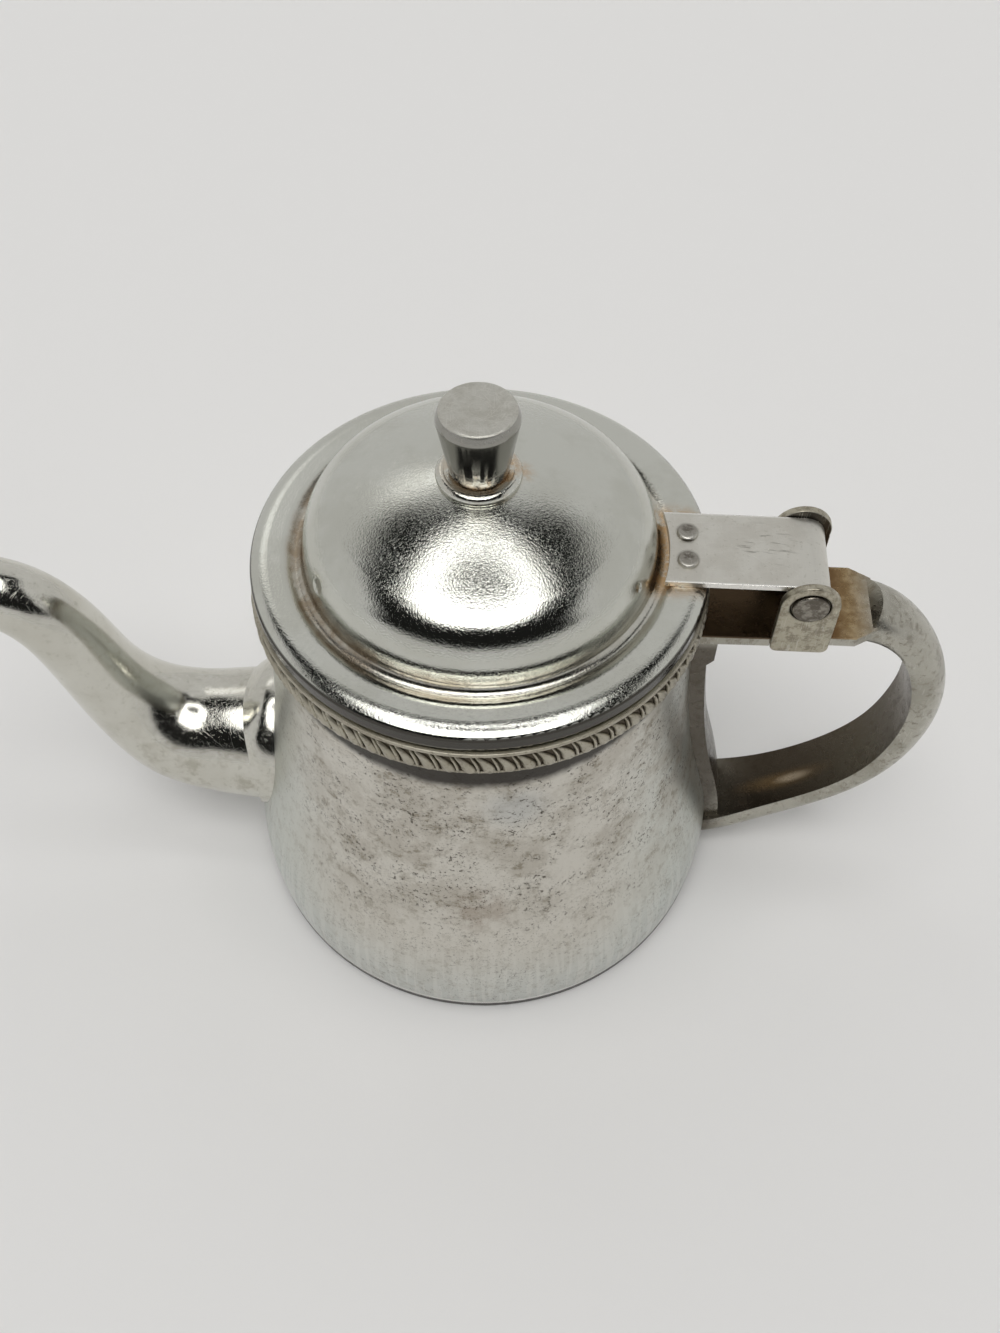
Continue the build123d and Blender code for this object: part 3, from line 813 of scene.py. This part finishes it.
def makeBandTree():
    tree = bpy.data.node_groups.new("gadroonTree", "GeometryNodeTree")
    g = NodeMaker(tree)
    size = groupInput(g, bandSizes)

    def rib(width, sweep, proud, taper, turn=0.0, seedShift=0):
        ball = g.node(
            "GeometryNodeMeshUVSphere",
            None,
            {"Segments": ribShape["around"], "Rings": ribShape["rings"], "Radius": 1.0},
        )
        x, y, z = g.split(g.node("GeometryNodeInputPosition"))
        rise = z * 0.5 + 0.5  # 0 at the foot and 1 at the top
        full = (ribShape["blunting"] - z ** 2.0) ** ribShape["bluntPower"]
        spread = full * (1.0 - rise ** ribShape["taperPower"] * taper)
        swept = y * width * 0.5 * spread - rise ** ribShape["sweepPower"] * sweep
        place = g.point(
            x * proud * full, swept + sweep * ribShape["sweepBack"], z * size["Rib height"] * 0.5
        )
        shaped = g.node("GeometryNodeSetPosition", None, {"Geometry": ball, "Position": place})
        angle = (g.node("GeometryNodeInputIndex") + turn) / size["Pairs"] * math.tau
        spot = g.point(
            angle.cosine() * size["Ring radius"],
            angle.sine() * size["Ring radius"],
            size["Rib middle"],
        )
        points = g.node("GeometryNodePoints", None, {"Count": size["Pairs"], "Position": spot})
        swell = g.node(
            "FunctionNodeRandomValue",
            {"data_type": "FLOAT"},
            {2: ribShape["smallest"], 3: 1.0, "Seed": size["Seed"] + seedShift},
            1,
        )
        return g.node(
            "GeometryNodeInstanceOnPoints",
            None,
            {
                "Points": points,
                "Instance": shaped,
                "Rotation": g.point(0.0, 0.0, angle),
                "Scale": g.point(swell, swell, 1.0),
            },
        )

    def hoop(middle, height, outer):
        inner = hoopShape["innerRadius"]
        circle = g.node(
            "GeometryNodeCurvePrimitiveCircle",
            None,
            {"Resolution": hoopShape["steps"], "Radius": (outer + inner) * 0.5},
        )
        flat = g.node(
            "GeometryNodeCurvePrimitiveQuadrilateral", None, {0: outer - inner, 1: height}
        )
        rounded = g.node(
            "GeometryNodeFilletCurve",
            {"mode": "POLY"},
            {
                "Curve": flat,
                "Radius": hoopShape["rounding"],
                "Count": hoopShape["roundingSteps"],
            },
        )
        swept = g.node(
            "GeometryNodeCurveToMesh", None, {"Curve": circle, "Profile Curve": rounded}
        )
        lift = g.point(0.0, 0.0, middle)
        return g.node("GeometryNodeTransform", None, {"Geometry": swept, "Translation": lift})

    lip, foot = size["Lip height"], size["Foot height"]
    parts = [
        rib(
            size["Leaf width"],
            size["Leaf sweep"],
            size["Proud"] * ribShape["leafProud"],
            ribShape["leafTaper"],
        ),
        rib(
            size["Thread width"],
            size["Thread sweep"],
            size["Proud"] * ribShape["threadProud"],
            ribShape["threadTaper"],
            ribShape["threadPlace"],
            ribShape["threadSeed"],
        ),
        hoop(size["Rib middle"], size["Rib height"], size["Ring radius"]),
        hoop(mouthHeight - lip * 0.5, lip, hoopShape["lipRadius"]),
        hoop(bandLow.z + foot * 0.5, foot, hoopShape["footRadius"]),
    ]
    joined = g.node("GeometryNodeJoinGeometry")
    for made in parts:
        tree.links.new(made.socket, joined.socket.node.inputs[0])
    solid = g.node("GeometryNodeRealizeInstances", None, {0: joined})
    smooth = g.node("GeometryNodeSetShadeSmooth", None, {"Geometry": solid})
    painted = g.node(
        "GeometryNodeSetMaterial",
        None,
        {"Geometry": smooth, "Material": finishes["band_metal"]},
    )
    g.node("NodeGroupOutput", None, {0: painted})
    return tree


bandMesh = runTree(makeBandTree(), bandSizes)
addPiece("gadroonBand", bandMesh, "band_metal", "pot", "gadroon_band")

print("small metal pieces")
edgeShape = {
    "merge": 0.002 * mm,
    "straighten": 0.6,  # degrees
    "segments": 2,
    "angle": 32.0,  # degrees
}
smallPieces = {  # node, edge width, area from which a face is flat, slot, body
    "hingeLeaf": ("hinge_leaf", 0.16 * mm, 2e-6, "hinge_metal", "lid"),
    "hingeEarFront": ("hinge_ear_front", 0.18 * mm, 2e-6, "hinge_metal", "pot"),
    "hingeEarRear": ("hinge_ear_rear", 0.18 * mm, 2e-6, "hinge_metal", "pot"),
    "knobTurned": ("knob", 0.30 * mm, 6e-5, "knob_metal", "lid"),
}


def softEdged(nodeName, width, flatArea):
    form = bmesh.new()
    form.from_mesh(nodes[nodeName].data)
    bmesh.ops.remove_doubles(form, verts=form.verts, dist=edgeShape["merge"])
    bmesh.ops.dissolve_limit(
        form,
        angle_limit=math.radians(edgeShape["straighten"]),
        verts=form.verts,
        edges=form.edges,
    )
    mesh = bpy.data.meshes.new(nodeName + "Soft")
    form.to_mesh(mesh)
    form.free()
    mesh.shade_smooth()
    holder = newHolder(mesh)
    edge = holder.modifiers.new("edge", "BEVEL")
    edge.width = width
    edge.segments = edgeShape["segments"]
    edge.limit_method = "ANGLE"
    edge.angle_limit = math.radians(edgeShape["angle"])
    edge.use_clamp_overlap = True
    made = settle(holder)
    made.shade_smooth()
    for face in made.polygons:  # wide flat faces keep a flat shade
        face.use_smooth = face.area < flatArea
    return made


for pieceName, (nodeName, width, flatArea, slotName, body) in smallPieces.items():
    addPiece(pieceName, softEdged(nodeName, width, flatArea), slotName, body, nodeName)


# Camera, floor and light.

print("camera and light")
cameraPlace = {
    "location": (0.01080, -0.13676, 0.24264),
    "tilt": 35.47,  # degrees, as the turn is
    "turn": 3.2,
    "lens": 35.11,
    "sensor": 36.0,
    "nearest": 0.01,
    "farthest": 20.0,
}
cameraData = bpy.data.cameras.new("camera")
cameraData.lens = cameraPlace["lens"]
cameraData.sensor_width = cameraPlace["sensor"]
cameraData.clip_start = cameraPlace["nearest"]
cameraData.clip_end = cameraPlace["farthest"]
camera = bpy.data.objects.new("camera", cameraData)
camera.location = cameraPlace["location"]
camera.rotation_euler = (
    math.radians(cameraPlace["tilt"]),
    0.0,
    math.radians(cameraPlace["turn"]),
)
bpy.context.scene.collection.objects.link(camera)
bpy.context.scene.camera = camera

# All the light comes from the world, whose level is worked out from the direction.
studio = {
    "lightColor": (1.0, 0.995, 0.985, 1.0),
    "wallLevel": 0.64,
    # The ovals are on a plane one unit up: across, back.
    "roofMiddle": (-0.02, -0.23),
    "roofHalf": (0.42, 0.455),
    "roofEdge": (0.92, 1.07, 3.2),  # from, to and fullness, where 2 is an ellipse
    "roofLevel": 3.9,
    "heartMiddle": (0.0, 0.0),
    "heartHalf": (0.29, 0.14),
    "heartEdge": (0.75, 1.20, 2.0),
    "heartDim": 0.96,
    "windowMiddle": (-0.62, 1.00),
    "windowHalf": (0.26, 0.26),
    "windowEdge": (0.70, 1.20, 2.0),
    "windowLevel": 1.3,
    # The dark card stands in front, in degrees up and either side of the front.
    "cardLevel": 0.012,
    "cardTop": (57.0, 61.0),
    "cardSide": (58.0, 67.0),
    "cardFoot": (-28.0, 0.0, 17.0, 14.5),  # turns from, to, and the foot's climb at each
    "cardFootRise": (-2.0, 3.0),
    # The dark hood is on the same plane as the ovals.
    "hoodMiddle": -0.05,
    "hoodSide": 0.74,
    "hoodSlant": 0.80,
    "hoodSlantFrom": 0.15,
    "hoodSideFade": (-0.02, 0.05),
    "hoodFrontRise": (-1.0, -0.90),
    "hoodRear": 0.44,
    "hornRear": 0.65,
    "hornRise": (0.30, 0.60),
    "hoodRearFade": (-0.02, 0.04),
    "horizon": 0.03,
    "floorColor": (0.88, 0.875, 0.865, 1.0),
    "floorRough": 0.7,
    "floorRadius": 4.0,
    "floorCorners": 64,
}


def makeStudioWorld():
    world = bpy.data.worlds.new("studioWorld")
    world.use_nodes = True
    g = NodeMaker(world.node_tree)
    g.tree.nodes.clear()
    x, y, z = g.split(g.node("ShaderNodeTexCoord", None, None, "Generated"))
    height = z.most(studio["horizon"])
    across = x / height
    back = y / height

    def oval(name):
        middle, half = studio[name + "Middle"], studio[name + "Half"]
        inner, outer, fullness = studio[name + "Edge"]
        sideways = abs((across - middle[0]) / half[0]) ** fullness
        lengthways = abs((back - middle[1]) / half[1]) ** fullness
        return g.fade((sideways + lengthways) ** (1.0 / fullness), inner, outer)

    roof = oval("roof")
    heart = oval("heart") * studio["heartDim"]
    window = oval("window")
    side = abs(across - studio["hoodMiddle"])
    slant = (studio["hoodSlantFrom"] - back).most(0.0) * studio["hoodSlant"]
    rearEdge = g.ease(side, *studio["hornRise"], studio["hoodRear"], studio["hornRear"])
    hood = (
        g.fade(side - (studio["hoodSide"] + slant), *studio["hoodSideFade"])
        * g.fade(back - rearEdge, *studio["hoodRearFade"])
        * g.ease(back, *studio["hoodFrontRise"])
    )
    climb = g.calc("ARCSINE", z) * math.degrees(1.0)
    turn = g.calc("ARCTAN2", x, -y) * math.degrees(1.0)
    card = (
        g.fade(climb, *studio["cardTop"])
        * g.ease(climb - g.ease(turn, *studio["cardFoot"]), *studio["cardFootRise"])
        * g.fade(abs(turn), *studio["cardSide"])
    )
    dark = card.most(hood)
    level = studio["wallLevel"] * (1.0 - window) + studio["windowLevel"] * window
    level = level * (1.0 - dark) + studio["cardLevel"] * dark
    level = level * (1.0 - roof) + studio["roofLevel"] * roof * (1.0 - heart)
    light = g.node(
        "ShaderNodeBackground", None, {"Color": studio["lightColor"], "Strength": level}
    )
    g.node("ShaderNodeOutputWorld", None, {"Surface": light})
    bpy.context.scene.world = world


def makeFloor():
    form = bmesh.new()
    bmesh.ops.create_circle(
        form, cap_ends=True, segments=studio["floorCorners"], radius=studio["floorRadius"]
    )
    mesh = bpy.data.meshes.new("floor")
    form.to_mesh(mesh)
    form.free()
    floor = bpy.data.objects.new("floor", mesh)
    bpy.context.scene.collection.objects.link(floor)
    f = Finish("floorPaint")
    shader = f.node(
        "ShaderNodeBsdfPrincipled",
        None,
        {"Base Color": studio["floorColor"], "Roughness": studio["floorRough"]},
    )
    f.node("ShaderNodeOutputMaterial", None, {"Surface": shader})
    mesh.materials.append(f.material)


makeFloor()
makeStudioWorld()
bpy.context.scene.view_settings.view_transform = "Standard"
